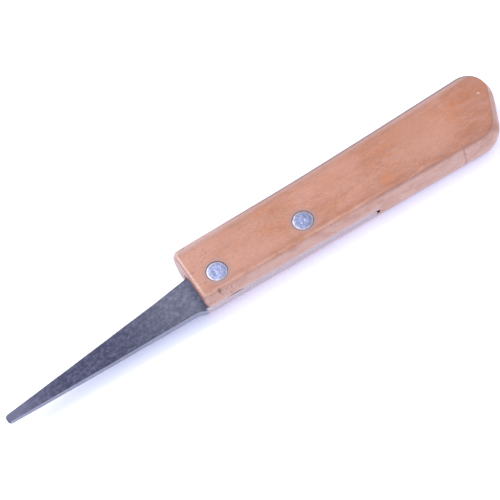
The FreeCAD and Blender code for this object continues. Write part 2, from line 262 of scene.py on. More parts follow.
def swept_side(first_x, last_x, count, side):
    """count steps along one long side, which is slightly hollow and widens to the butt."""
    x = np.linspace(first_x, last_x, count + 1)
    y = half_width(x)
    centre_y = FRONT_HALF + FLARE_RADIUS
    outward = np.stack([-x, centre_y - y], 1) / FLARE_RADIUS
    return np.stack([x, side * y, outward[:, 0], side * outward[:, 1]], 1)


def straight(start, end, outward, count):
    steps = np.linspace(0.0, 1.0, count + 1)[:, None]
    line = start + (end - start) * steps
    return np.concatenate([line, np.tile(outward, (count + 1, 1))], 1)


def join(*parts):
    """Chain curve pieces whose ends meet."""
    return np.concatenate([parts[0]] + [part[1:] for part in parts[1:]])


def handle_outline():
    """The four runs of the handle's crest outline: front, edge side, butt, spine side."""
    out = np.array([math.cos(BUTT_SLANT), -math.sin(BUTT_SLANT)])
    down = np.array([-math.sin(BUTT_SLANT), -math.cos(BUTT_SLANT)])
    side_centre = np.array([0.0, FRONT_HALF + FLARE_RADIUS])
    corner_x = HANDLE_LENGTH - BUTT_CORNER
    reach = FLARE_RADIUS + BUTT_CORNER
    corner = np.array([corner_x, side_centre[1] - math.sqrt(reach ** 2 - corner_x ** 2)])
    corner_end = side_centre + (corner - side_centre) * FLARE_RADIUS / reach
    butt_start = corner + out * BUTT_CORNER
    inner = butt_start - out * BUTT_HEEL + side_centre * (0, 1)
    lean = inner @ down
    gap = inner @ inner - (FLARE_RADIUS + BUTT_HEEL) ** 2
    heel = inner + down * (-lean - math.sqrt(lean ** 2 - gap)) - side_centre
    heel_end = -side_centre + (heel + side_centre) * FLARE_RADIUS / (FLARE_RADIUS + BUTT_HEEL)
    butt_end = heel + out * BUTT_HEEL
    towards = math.atan2(*(corner_end - corner)[::-1])
    away = math.atan2(*(heel_end - heel)[::-1])
    corner_middle = (towards - BUTT_SLANT) / 2
    heel_middle = (away - BUTT_SLANT) / 2

    flat = FRONT_HALF - FRONT_CORNER
    low_corner = np.array([FRONT_CORNER, -flat])
    high_corner = np.array([FRONT_CORNER, flat])
    half_turn, eighth = math.pi, math.pi / 4
    forward = np.array([-1.0, 0.0])
    kerf_y = KERF_LINE * flat / (flat - bulge(KERF_HALF))
    front = join(
        arc(low_corner, FRONT_CORNER, -half_turn + eighth, -half_turn, TURN_STEPS),
        straight(np.array([0.0, -flat]), np.array([0.0, kerf_y]), forward, FRONT_LOW_STEPS),
        straight(np.array([0.0, kerf_y]), np.array([0.0, flat]), forward, FRONT_HIGH_STEPS),
        arc(high_corner, FRONT_CORNER, half_turn, half_turn - eighth, TURN_STEPS),
    )
    edge = join(
        arc(high_corner, FRONT_CORNER, half_turn - eighth, half_turn / 2, TURN_STEPS),
        swept_side(FRONT_CORNER, corner_end[0], EDGE_STEPS, 1),
        arc(corner, BUTT_CORNER, towards, corner_middle, CORNER_STEPS),
    )
    butt = join(
        arc(corner, BUTT_CORNER, corner_middle, -BUTT_SLANT, CORNER_STEPS),
        straight(butt_start, butt_end, out, BUTT_STEPS),
        arc(heel, BUTT_HEEL, -BUTT_SLANT, heel_middle, HEEL_STEPS),
    )
    run_out = kerf_run_out()
    spine = join(
        arc(heel, BUTT_HEEL, heel_middle, away, HEEL_STEPS),
        swept_side(heel_end[0], run_out, SPINE_STEPS, -1),
        swept_side(run_out, run_out - HOLE_ZONE, HOLE_STEPS, -1),
        swept_side(run_out - HOLE_ZONE, FRONT_CORNER, SPINE_STEPS, -1),
        arc(low_corner, FRONT_CORNER, -half_turn / 2, -half_turn + eighth, TURN_STEPS),
    )
    return front, edge, butt, spine


def bulge(z):
    """How far the side lies inside its crest at a height from mid thickness."""
    return SIDE_ROUND - math.sqrt(SIDE_ROUND ** 2 - z ** 2)


def kerf_run_out():
    """Where the saw's arc leaves the handle's side, found by halving."""
    low, high = SAW_CENTRE[0], SAW_CENTRE[0] + SAW_RADIUS - 1.0
    for _ in range(40):
        middle = (low + high) / 2
        if saw_line(middle) > bulge(KERF_HALF) - half_width(middle):
            low = middle
        else:
            high = middle
    return low


def face_inset():
    """How far the edge of a broad face, past its arris, lies inside the crest outline."""
    slope_z = SIDE_ROUND * math.sin(SIDE_SLOPE)
    corner_inset = bulge(slope_z) + (HALF_THICK - slope_z) * math.tan(SIDE_SLOPE)
    return corner_inset + FACE_ARRIS * math.tan((math.pi / 2 - SIDE_SLOPE) / 2)


def handle_rows():
    """Rows from the upper face to the lower one: inset, height and tilt, at side and front."""
    slope_z = SIDE_ROUND * math.sin(SIDE_SLOPE)
    slope_inset = bulge(slope_z)
    near_lip = KERF_HALF + LIP_ROW_GAP
    side, front = [], []
    for tilt in np.linspace(math.pi / 2, SIDE_SLOPE, 6):
        side.append((face_inset() - FACE_ARRIS * math.cos(tilt),
                     HALF_THICK - FACE_ARRIS * (1 - math.sin(tilt)), tilt))
    arris_low, arris_z, _ = side[-1]
    for step in np.linspace(0.25, 1.0, 4):
        height = arris_z + (slope_z - arris_z) * step
        side.append((arris_low + (slope_inset - arris_low) * step, height, SIDE_SLOPE))
    crest_tilts = np.linspace(SIDE_SLOPE, math.asin(near_lip / SIDE_ROUND), 5)[1:]
    for tilt in [*crest_tilts, math.asin(KERF_HALF / SIDE_ROUND)]:
        side.append((SIDE_ROUND * (1 - math.cos(tilt)), SIDE_ROUND * math.sin(tilt), tilt))
    for tilt in np.linspace(math.pi / 2, 0.0, 6):
        front.append((FRONT_ARRIS * (1 - math.cos(tilt)),
                      HALF_THICK - FRONT_ARRIS * (1 - math.sin(tilt)), tilt))
    for height in [*np.linspace(HALF_THICK - FRONT_ARRIS, near_lip, 9)[1:], KERF_HALF]:
        front.append((0.0, height, 0.0))
    side_middle = [(bulge(z), z, math.asin(z / SIDE_ROUND)) for z in KERF_ROWS]
    front_middle = [(0.0, z, 0.0) for z in KERF_ROWS]
    side = side + side_middle + [(inset, -z, -tilt) for inset, z, tilt in side[::-1]]
    front = front + front_middle + [(inset, -z, -tilt) for inset, z, tilt in front[::-1]]
    return np.array(side), np.array(front)


def lip_half(x):
    """Half the kerf's width, which draws in to a small round hole where the saw runs out."""
    x = np.asarray(x, float)
    drawn_in = smooth_step(TANG_LENGTH - TANG_POINT, TANG_LENGTH + HOLE_OPENED[1], x)
    half = KERF_HALF + (END_HOLE - KERF_HALF) * drawn_in
    part = np.clip((x - kerf_run_out() + END_HOLE) / END_HOLE, 0, 1)
    return half * np.sqrt(1 - HOLE_ROUND * part ** 2)


def end_hole_dip(x):
    """Extra depth of the round hole past the tang's end."""
    opened = smooth_step(*HOLE_OPENED, x - TANG_LENGTH)
    return END_HOLE_DEPTH * opened * (1 - smooth_step(*HOLE_CLOSED, x - kerf_run_out()))


def sanded_cheek(points):
    """Extra wood gone from the lower cheek's edge, on the spine's side near the front."""
    below = smooth_step(KERF_HALF, HALF_THICK, -points[:, 2])
    along = 1 - smooth_step(0.0, CHEEK_WEAR_REACH, points[:, 0])
    spine_side = smooth_step(0.5, 0.9, -points[:, 1] / FRONT_HALF)
    return CHEEK_WEAR * below * along * spine_side


def front_lean(x):
    """How far the handle's front end lies towards the edge's side, from the band saw."""
    return FRONT_LEAN * (1 - smooth_step(0.0, FRONT_LEAN_REACH, x))


def hand_worn(points):
    """How far wear and hand sanding took the wood below its drawn surface."""
    waves = HAND_WAVES[0] + ripple(points * (0.4, 1, 1), *HAND_WAVES, 1)
    small = HAND_RIPPLES[0] + ripple(points, *HAND_RIPPLES, 2)
    inset = BUTT_CORNER / 2
    from_corner = np.hypot(points[:, 0] - HANDLE_LENGTH + inset, points[:, 1] - inset)
    at_side = smooth_step(0.5, 1.5, HALF_THICK + 0.5 - np.abs(points[:, 2]))
    return waves + small + CORNER_SANDED * at_side * np.exp(-(from_corner / CORNER_REACH) ** 2)


def make_handle():
    """The one-piece wooden handle, with the tang's saw kerf and the rivets' seats."""
    front, edge, butt, spine = handle_outline()
    loop = join(front, edge, butt, spine)
    side_rows, front_rows = handle_rows()
    lip_row = (len(side_rows) - len(KERF_ROWS)) // 2 - 1
    last_row = len(side_rows) - 1 - lip_row

    forward = np.where(loop[:, 0] < FRONT_CORNER, loop[:, 2] ** 2, 0.0)
    on_front = np.isclose(loop[:, 0], 0.0)
    flat = FRONT_HALF - FRONT_CORNER
    skin_points = np.empty((len(side_rows), len(loop), 3))
    for row, ((inset, height, tilt), (back, front_height, front_tilt)) in enumerate(
            zip(side_rows, front_rows)):
        at_front = loop[:, 0] <= FRONT_CORNER
        shift_y = np.where(on_front, -loop[:, 1] / flat * inset, -np.sign(loop[:, 1]) * inset)
        spot = loop[:, :2] - inset * loop[:, 2:]
        spot[at_front] = np.stack([loop[:, 0] + back * forward, loop[:, 1] + shift_y], 1)[at_front]
        level = height + (front_height - height) * forward
        lean = tilt + (front_tilt - tilt) * forward
        if lip_row <= row <= last_row:
            on_spine = (loop[:, 1] < 0) & (loop[:, 0] > FRONT_CORNER)
            past_end = smooth_step(0.0, RUN_OUT_BLEND, loop[:, 0] - kerf_run_out())
            squeeze = lip_half(loop[:, 0]) / KERF_HALF
            squeeze = squeeze + (1 - squeeze) * past_end
            level = np.where(on_spine, level * squeeze, level)
        if row <= lip_row:
            chip = smooth_step(CHIP_START, CHIP_START + CHIP_SIDE, loop[:, 0]) * (loop[:, 1] < 0)
            chip = chip * smooth_step(CHIP_END, CHIP_END - CHIP_SIDE, loop[:, 0])
            level = level + CHIP_RISE * chip * smooth_step(KERF_HALF + CHIP_FADE, KERF_HALF, level)
        points = np.concatenate([spot, level[:, None]], 1)
        points[:, 1] += sanded_cheek(points)
        outward = np.concatenate([
            loop[:, 2:] * np.cos(lean)[:, None], np.sin(lean)[:, None]], 1)
        skin_points[row] = points - outward * hand_worn(points)[:, None]

    skin_points[..., 1] += front_lean(skin_points[..., 0])
    front_end = len(front) - 1
    edge_end = front_end + len(edge) - 1
    butt_end = edge_end + len(butt) - 1
    kerf_front = int(np.argmin(np.abs(front[:, 1] - KERF_LINE)))
    kerf_back = butt_end + int(np.argmin(np.abs(spine[:, 0] - kerf_run_out())))
    for row, sign in ((lip_row, 1), (last_row, -1)):
        opened = np.r_[0:kerf_front, kerf_back + 1:len(loop)]
        outward = np.zeros((len(opened), 3))
        outward[:, :2] = loop[opened, 2:]
        skin_points[row, opened] -= WORN_LIP * outward

    def outside_kerf(row, column):
        at_kerf = column < kerf_front or column >= kerf_back
        return not (at_kerf and lip_row <= row < last_row)

    skin = Skin()
    skin.grid(skin_points, outside_kerf)

    for row, face_z in ((0, HALF_THICK), (-1, -HALF_THICK)):
        rim = skin_points[row]
        left, top = rim[:front_end + 1], rim[front_end:edge_end + 1]
        right = rim[edge_end:butt_end + 1][::-1]
        bottom = rim[butt_end:][::-1]
        face = coons(bottom, top, left, right)
        inner = face[1:-1, 1:-1]
        inner[..., 2] = face_z
        flat_points = inner.reshape(-1, 3)
        dip = hand_worn(flat_points).reshape(inner.shape[:2])
        inner[..., 2] -= np.sign(face_z) * dip
        skin.grid(face)

    bottoms = []
    for row in (lip_row, last_row):
        rim = skin_points[row]
        left = rim[:kerf_front + 1]
        lip = rim[kerf_back:][::-1]
        reach = (lip[:, 0] - lip[0, 0]) / (lip[-1, 0] - lip[0, 0]) * lip[-1, 0]
        depth = saw_line(reach) + end_hole_dip(reach) + front_lean(reach)
        floor = np.stack([reach, depth, lip[:, 2]], 1)
        floor[0], floor[-1] = left[-1], lip[-1]
        right = np.repeat(lip[-1:], len(left), 0)
        skin.grid(coons(lip, floor, left, right))
        bottoms.append(floor)
    front_column = skin_points[lip_row:last_row + 1, kerf_front]
    back_column = skin_points[lip_row:last_row + 1, kerf_back]
    skin.grid(coons(bottoms[0], bottoms[1], front_column, back_column))

    handle = skin.make("handle_wood")
    for rivet in RIVETS.values():
        bore(handle, rivet)
    return handle


def turned(profile, segments, centre, flip=1):
    """Grid of points turned about Z through a centre, from (radius, height) pairs."""
    turns = np.linspace(0.0, 2 * math.pi, segments + 1)
    profile = np.asarray(profile, float)
    radius, height = profile[:, 0][:, None], profile[:, 1][:, None]
    spots = np.stack([
        radius * np.cos(turns), radius * np.sin(turns), flip * height + 0 * turns], 2)
    spots[:, -1] = spots[:, 0]
    return spots + np.array([centre[0], centre[1], 0.0])


def cut_turned(piece, profile, segments, centre):
    """Cut a turned shape out of a piece."""
    cutter_skin = Skin()
    cutter_skin.grid(turned(profile, segments, centre))
    cutter = cutter_skin.make("cutter")
    cut = piece.modifiers.new("cut", "BOOLEAN")
    cut.operation = "DIFFERENCE"
    cut.solver = "EXACT"
    cut.object = cutter
    graph = bpy.context.evaluated_depsgraph_get()
    carved = bpy.data.meshes.new_from_object(piece.evaluated_get(graph))
    piece.modifiers.clear()
    piece.data = carved
    bpy.data.objects.remove(cutter)


def bore(handle, centre):
    """Cut one rivet's two head seats and its hole out of the handle."""
    seat = HEAD_RADIUS + SEAT_GAP
    floor = HALF_THICK - HEAD_THICK - HEAD_SINK
    clear = HALF_THICK + CUTTER_CLEAR
    upper = [
        (0, clear),
        (seat + 3 * SEAT_WORN, clear),
        (seat + SEAT_WORN, HALF_THICK - SEAT_WORN / 2),
        (seat, HALF_THICK - 2 * SEAT_WORN),
        (seat, floor),
        (BORE_RADIUS, floor),
    ]
    profile = upper + [(radius, -height) for radius, height in upper[::-1]]
    cut_turned(handle, profile, BORE_SEGMENTS, centre)


# Where the painted marks of the handle begin and end, in millimetres: along the handle,
# across it, down from a broad face, or in from the crest outline.
ARRIS_MIDDLE = 0.2
WORN_SIDE_ENDS = (58.0, 76.0)
WORN_FRONT = (0.4, 0.3)
END_GRAIN_FRONT = (0.05, 0.6)
END_GRAIN_BUTT = 3.0
CREST_BELOW_FACE = (-0.2, 1.5)
CREST_OUTSIDE_FACE = (1.0, -0.3)
LIP_WIDTH = 0.55
FAR_LINE_BELOW_FACE = (2.6, 0.8)
FAR_LINE_OUTSIDE_FACE = (0.5, 0.1)
FAR_LINE_START = (12.0, 34.0)
FAR_LINE_END = (3.0, 6.0)
BUTT_LINE_FROM_CREST = (0.40, 0.14)
BUTT_LINE_START = (-11.0, -6.0)
BUTT_LINE_END = (-8.0, -4.0)
CREASE_MIDDLE = 1.5
CREASE_WIDTH = 1.3
HOLE_ENDS = (1.2, 0.5)
HOLE_DEPTH = (0.05, 0.3)


def outline_gaps(x, y):
    """Distance from each point to the handle's crest outline, seen from above."""
    outline = join(*handle_outline())
    tree = KDTree(len(outline))
    for number, (outline_x, outline_y, _, _) in enumerate(outline):
        tree.insert((outline_x, outline_y, 0.0), number)
    tree.balance()
    return np.array([tree.find((spot_x, spot_y, 0.0))[2] for spot_x, spot_y in zip(x, y)])


def far_slope_shade(x, y, z, arris):
    """Painted shade: a thin dark line along the far side's arris, and round the butt's crest, where
    these slopes are seen edge-on.
    """
    face_gap = HALF_THICK - np.abs(z)
    from_crest = outline_gaps(x, y)
    past_butt = x - HANDLE_LENGTH
    at_arris = smooth_step(*FAR_LINE_BELOW_FACE, face_gap)
    at_arris = at_arris * smooth_step(*FAR_LINE_OUTSIDE_FACE, from_crest - arris)
    at_arris = at_arris * smooth_step(*FAR_LINE_START, x)
    round_corner = 4.0 * smooth_step(-6.0, -3.0, past_butt)
    at_arris = at_arris * smooth_step(*FAR_LINE_END, y - round_corner)
    at_crest = 0.75 * smooth_step(*BUTT_LINE_FROM_CREST, from_crest) * smooth_step(-0.6, 0.2, z)
    at_crest = at_crest * smooth_step(*BUTT_LINE_START, past_butt) * smooth_step(*BUTT_LINE_END, y)
    return np.maximum(at_arris, at_crest)


def paint_arrises(handle, x, y, face_gap, side_gap):
    """Mark the rubbed arrises of the broad faces, and the dark one under the rear half."""
    on_side = np.exp(-np.maximum(np.abs(side_gap), face_gap) ** 2 / 0.5)
    front_x, front_depth = WORN_FRONT
    on_front = np.exp(-np.maximum(np.abs(x - front_x), face_gap - front_depth) ** 2 / 0.6)
    at_rear = smooth_step(*WORN_SIDE_ENDS, x)
    paint(handle, "worn", np.clip(np.maximum(on_side * (1 - at_rear), on_front), 0, 1))
    paint(handle, "front_arris", np.exp(-(x - 0.8) ** 2 / 0.09) * smooth_step(0.9, 0.3, face_gap))
    under_arris = np.exp(-((face_gap - 0.45) / 0.45) ** 2) * smooth_step(0.5, 0.1, side_gap)
    paint(handle, "dark_arris", under_arris * at_rear * (y < 0))


def paint_handle(handle):
    """Mark the worn edges, the end grain, painted light on the paler sides, the darker bands inside
    the arrises, and painted shade in the saw's end hole.
    """
    x, y, z = drawing_points(handle).T
    y = y - front_lean(x)
    arris = face_inset() - ARRIS_MIDDLE
    inside_crest = half_width(x) - np.abs(y)
    side_gap = inside_crest - arris
    face_gap = HALF_THICK - np.abs(z)
    paint_arrises(handle, x, y, face_gap, side_gap)
    ends = np.maximum(1 - smooth_step(*END_GRAIN_FRONT, x),
                      smooth_step(HANDLE_LENGTH - END_GRAIN_BUTT, HANDLE_LENGTH, x))
    paint(handle, "end_grain", ends)
    # Painted light: the crests of the sides are painted paler, in place of the floor's light on
    # them.
    on_crest = smooth_step(*CREST_BELOW_FACE, face_gap) * smooth_step(*CREST_OUTSIDE_FACE, side_gap)
    paint(handle, "crest", on_crest)

    run_out = kerf_run_out()
    # Painted highlight: a pale line along the kerf's upper lip, where its edge catches light.
    lip_highlight = np.exp(-((np.abs(z) - KERF_HALF) / LIP_WIDTH) ** 2) * (y < 0)
    lip_highlight = lip_highlight * smooth_step(1.4, 0.6, inside_crest)
    paint(handle, "lip", lip_highlight * smooth_step(run_out, run_out - 1, x))
    on_far_side = smooth_step(1.6, 0.4, face_gap) * (y > 0)
    paint(handle, "far_rim", np.exp(-(side_gap - 0.6) ** 2 / 1.3) * on_far_side)
    paint(handle, "far_slope_shade", far_slope_shade(x, y, z, arris))
    crease = np.exp(-((side_gap - CREASE_MIDDLE) / CREASE_WIDTH) ** 2)
    paint(handle, "crease", crease * smooth_step(0.6, 0.0, face_gap))
    # Painted shade in the saw's end hole.
    hole_shade = smooth_step(*HOLE_ENDS, np.abs(x - run_out + END_HOLE))
    hole_shade = hole_shade * smooth_step(*HOLE_DEPTH, inside_crest - bulge(KERF_HALF))
    paint(handle, "hole", hole_shade * (np.abs(z) < KERF_HALF) * (y < 0))


# ---- blade

EDGE_FRONT = KERF_LINE - TANG_GAP
EDGE_MIDDLE = -1.65
EDGE_TIP = -6.0
SPINE_TANG_FRONT = -12.25
SPINE_TANG_REAR = -13.2
SPINE_FRONT = -11.05
SPINE_MIDDLE = -10.3
SPINE_TIP = -9.2
SHOULDER_RUN = 4.0
BEVEL_RUN = 13.0
SPINE_HALF = 1.25
TIP_HALF = 1.1
EDGE_HALF = 0.25
TIP_ROUND = 1.25
SPINE_ARRIS = 0.28
TIP_THINNED = 0.6
SHOULDER_THINNED = 0.66
TANG_END_DRAWN = 0.7
HAMMERED = (0.04, 3.4)
SCALED = (0.024, 1.3)
WANDER = (0.06, 7.0)
NICKS = (0.03, 2.3)
DRILL_CLEAR = 2.5
DRILL_SEGMENTS = 48


def blade_lines(x):
    """Spine and edge heights and half thicknesses of the steel at each x."""
    middle = -BLADE_REACH / 2
    spine_run = np.interp(x, [-BLADE_REACH, middle, 0], [SPINE_TIP, SPINE_MIDDLE, SPINE_FRONT])
    shoulder = smooth_step(-SHOULDER_RUN, 0.0, x)
    tang_spine = np.interp(x, [0, TANG_LENGTH], [SPINE_TANG_FRONT, SPINE_TANG_REAR])
    spine = np.where(x < 0, spine_run + (SPINE_TANG_FRONT - spine_run) * shoulder, tang_spine)
    edge_run = np.interp(x, [-BLADE_REACH, middle, 0], [EDGE_TIP, EDGE_MIDDLE, EDGE_FRONT])
    edge = np.where(x < 0, edge_run, saw_line(x, SAW_RADIUS - TANG_GAP))
    spine_half = np.interp(
        x, [-BLADE_REACH, middle, -SHOULDER_RUN], [TIP_HALF, SPINE_HALF, TANG_HALF])
    edge_half = np.interp(
        x, [-BEVEL_RUN, -SHOULDER_RUN, 0], [EDGE_HALF, TANG_HALF * SHOULDER_THINNED, TANG_HALF])
    drawn_in = 1 - TANG_END_DRAWN * smooth_step(TANG_LENGTH - TANG_POINT, TANG_LENGTH, x)
    return spine, edge, spine_half * drawn_in, edge_half * drawn_in


def blade_stations():
    """Places along the steel where it is cut into sections, closer where it turns."""
    tip = -BLADE_REACH + TIP_ROUND * (1 - np.cos(np.linspace(0, math.pi / 2, 9)))
    body = np.linspace(tip[-1], -SHOULDER_RUN, 160)[1:]
    shoulder = np.linspace(-SHOULDER_RUN, 0, 14)[1:]
    tang = np.linspace(0, TANG_LENGTH - TANG_POINT, 70)[1:]
    tang_end = np.linspace(TANG_LENGTH - TANG_POINT, TANG_LENGTH, 10)[1:]
    return np.concatenate([tip, body, shoulder, tang, tang_end])


def steel_section(spine, edge, spine_half, edge_half):
    """Half of one section from the back's middle over the upper flat to the edge's middle."""
    arris = min(SPINE_ARRIS, spine_half * 0.6, (edge - spine) * 0.3)
    lip = min(edge_half * 0.7, (edge - spine) * 0.2)
    corner = [(spine + arris * (1 - math.sin(turn)), spine_half - arris * (1 - math.cos(turn)))
              for turn in np.linspace(math.pi / 2, 0, 6)]
    back = [(spine, height) for height in np.linspace(0, spine_half - arris, 5)[:-1]]
    flat_start, flat_end = corner[-1], (edge - lip, edge_half)
    flat = [(flat_start[0] + (flat_end[0] - flat_start[0]) * step,
             flat_start[1] + (flat_end[1] - flat_start[1]) * step)
            for step in np.linspace(0, 1, 27)[1:]]
    nose = [(edge - lip * (1 - math.sin(turn)), edge_half * math.cos(turn))
            for turn in np.linspace(0, math.pi / 2, 5)[1:]]
    return np.array(back + corner + flat + nose)


def make_blade():
    """The forged blade and its half tang, lofted from the tip to the tang's end."""
    stations = blade_stations()
    lines = np.stack(blade_lines(stations), 1)
    sections = []
    for x, (spine, edge, spine_half, edge_half) in zip(stations, lines):
        left = min(x + BLADE_REACH, TIP_ROUND)
        drawn_in = TIP_ROUND - math.sqrt(TIP_ROUND ** 2 - (TIP_ROUND - left) ** 2)
        thin = 1 - TIP_THINNED * drawn_in / TIP_ROUND
        half = steel_section(spine + drawn_in, edge - drawn_in, spine_half * thin, edge_half * thin)
        around = np.concatenate([half, half[-2:0:-1] * (1, -1), half[:1]])
        sections.append(np.insert(around, 0, x, 1))
    sections = np.array(sections)
    flat_points = sections.reshape(-1, 3)
    on_blade = 1 - smooth_step(-1.5, 0.0, flat_points[:, 0])
    away_from_tip = smooth_step(0.0, 2.0, flat_points[:, 0] + BLADE_REACH)
    forged = ripple(flat_points * (0.5, 1, 1), *HAMMERED, 3) - HAMMERED[0]
    forged = forged + ripple(flat_points, *SCALED, 4)
    flat_points[:, 2] += np.sign(flat_points[:, 2]) * forged * on_blade
    along_only = flat_points * (1, 0, 0)
    wander = ripple(along_only, *WANDER, 5) + ripple(along_only, *NICKS, 6)
    flat_points[:, 1] += wander * on_blade * away_from_tip

    skin = Skin()
    skin.grid(sections)
    half_count = (sections.shape[1] - 1) // 2
    for section in (sections[0], sections[-1]):
        upper = section[:half_count + 1]
        lower = section[half_count:][::-1]
        skin.grid(np.stack([upper, lower]))
    blade = skin.make("forged_blade")
    for rivet in RIVETS.values():
        drill(blade, rivet)
    return blade


def drill(blade, centre):
    """Cut one rivet hole through the tang."""
    clear = TANG_HALF + DRILL_CLEAR
    profile = [(0, clear), (BORE_RADIUS, clear), (BORE_RADIUS, -clear), (0, -clear)]
    cut_turned(blade, profile, DRILL_SEGMENTS, centre)


# Where the steel's painted marks begin and end, in millimetres.
BARE_BACK = 0.14
CLEANED_TIP = (1.0, 13.0)
CLEANED_REAR = (-38.0, -1.0)
PALE_TIP = 24.0
# Painted shadow of the handle's front on the blade, from start to full.
HANDLE_SHADOW_REACH = (-3.2, -0.4)


def paint_blade(blade):
    """Mark the ground back, the paler cutting edge, a painted highlight on the tang's back arris,
    the cleaner ends and the painted shadow of the handle on the blade.
    """
    x, y, _ = drawing_points(blade).T
    spine, edge, _, _ = blade_lines(x)
    from_tip = x + BLADE_REACH
    from_back = y - spine
    on_tang = smooth_step(-1.0, 0.5, x) * smooth_step(1.2, 0.5, from_back)
    bare = 1 - smooth_step(0.0, BARE_BACK, from_back)
    paint(blade, "ground", np.maximum(bare, on_tang))
    paint(blade, "tang", on_tang)
    at_ends = np.maximum(1 - smooth_step(*CLEANED_TIP, from_tip), smooth_step(*CLEANED_REAR, x))
    paint(blade, "cleaned", at_ends)
    paint(blade, "tip", 1 - smooth_step(0.0, PALE_TIP, from_tip))
    # Painted shadow: the blade darkens back to scale just in front of the handle.
    paint(blade, "handle_shadow", smooth_step(*HANDLE_SHADOW_REACH, x) * (1 - on_tang))
    # Painted highlight: a bright line along the tang's back arris; the cutting edge is also laid
    # paler.
    highlight_and_edge_line = np.exp(-(from_back - 0.2) ** 2 / 0.04) * on_tang
    paint(blade, "highlight_and_edge_line", np.maximum(highlight_and_edge_line, 0.5 * np.exp(-(edge - y) ** 2 / 0.03)))


# ---- rivets

PIN_RADIUS = 1.5
SHELL_RADIUS = 2.2
PIN_GAP = 0.01
SHELL_REACH = 9.3
PIN_REACH = 8.4
HEAD_BEVEL = 0.35
HEAD_WALL = 0.7
HEAD_CROWN = 0.10
HEAD_SEGMENTS = 96
HEAD_DENTS = (0.035, 1.1)
HEAD_PEENING = (0.02, 0.5)
PIN_CHAMFER = 0.2
SHELL_CHAMFER = 0.15
RIM_HIGHLIGHT_WIDTH = (0.75, 0.3)


def head_profile():
    """Top of a rivet head from the middle to its under side, as (radius, depth) pairs."""
    face = [(radius, 0.0) for radius in np.linspace(0, HEAD_RADIUS - HEAD_BEVEL, 22)]
    rim = [(HEAD_RADIUS - HEAD_BEVEL + HEAD_BEVEL * math.sin(turn),
            HEAD_BEVEL * (1 - math.cos(turn)))
           for turn in np.linspace(0, math.pi / 2, 7)[1:]]
    return face + rim + [(HEAD_RADIUS, HEAD_WALL), (HEAD_RADIUS, HEAD_THICK)]


def make_rivet_half(name, centre, shank, side, seed):
    """One half of a compression rivet: a peened head and its shank, on one face."""
    profile = [(radius, HALF_THICK - HEAD_SINK - depth) for radius, depth in head_profile()]
    top = HALF_THICK - HEAD_SINK - HEAD_THICK
    profile += [(radius, top - reach) for radius, reach in shank]
    points = turned(profile, HEAD_SEGMENTS, centre, side)
    flat_points = points.reshape(-1, 3)
    gap = np.hypot(flat_points[:, 0] - centre[0], flat_points[:, 1] - centre[1])
    on_face = (1 - smooth_step(HEAD_RADIUS - 0.25, HEAD_RADIUS, gap))
    on_face = on_face * smooth_step(top + 0.5, top + 0.7, side * flat_points[:, 2])
    crown = HEAD_CROWN * smooth_step(0.4, 1.0, gap / HEAD_RADIUS) ** 2
    peened = HEAD_DENTS[0] + ripple(flat_points, *HEAD_DENTS, seed)
    peened = peened + HEAD_PEENING[0] + ripple(flat_points, *HEAD_PEENING, seed + 1)
    flat_points[:, 2] -= side * (crown + peened) * on_face
    grid = flat_points.reshape(points.shape)
    grid[:, -1] = grid[:, 0]
    skin = Skin()
    skin.grid(grid)
    piece = skin.make(name)
    spots = drawing_points(piece)
    reach = np.hypot(spots[:, 0] - centre[0], spots[:, 1] - centre[1])
    # Painted highlight: the head's rim is laid brighter.
    paint(piece, "rim", smooth_step(HEAD_RADIUS - RIM_HIGHLIGHT_WIDTH[0], HEAD_RADIUS - RIM_HIGHLIGHT_WIDTH[1], reach))
    return piece


# Shanks below the heads, as (radius, reach) pairs. The shell's goes down and back up inside.
SHELL_BORE = PIN_RADIUS + PIN_GAP
PIN_SHANK = [
    (PIN_RADIUS, 0),
    (PIN_RADIUS, PIN_REACH - PIN_CHAMFER),
    (PIN_RADIUS - PIN_CHAMFER, PIN_REACH),
    (0, PIN_REACH),
]
SHELL_SHANK = [
    (SHELL_RADIUS, 0),
    (SHELL_RADIUS, SHELL_REACH - SHELL_CHAMFER),
    (SHELL_RADIUS - SHELL_CHAMFER, SHELL_REACH),
    (SHELL_BORE + SHELL_CHAMFER, SHELL_REACH),
    (SHELL_BORE, SHELL_REACH - SHELL_CHAMFER),
    (SHELL_BORE, 0),
    (0, 0),
]


# ---- materials

class Nodes:
    """A node tree. An input may be a number, a socket or the name of a painted mark."""

    def __init__(self, owner):
        owner.use_nodes = True
        self.tree = owner.node_tree

    def feed(self, socket, value):
        if isinstance(value, str):
            value = self.add("Attribute", "Fac", {}, attribute_name=value)
        if isinstance(value, bpy.types.NodeSocket):
            self.tree.links.new(value, socket)
        else:
            socket.default_value = value

    def add(self, kind, output, inputs, **settings):
        """A new node's output, once its settings and inputs are set."""
        node = self.tree.nodes.new("ShaderNode" + kind)
        for key, value in settings.items():
            setattr(node, key, value)
        for key, value in inputs.items():
            self.feed(node.inputs[key], value)
        return node.outputs[output]


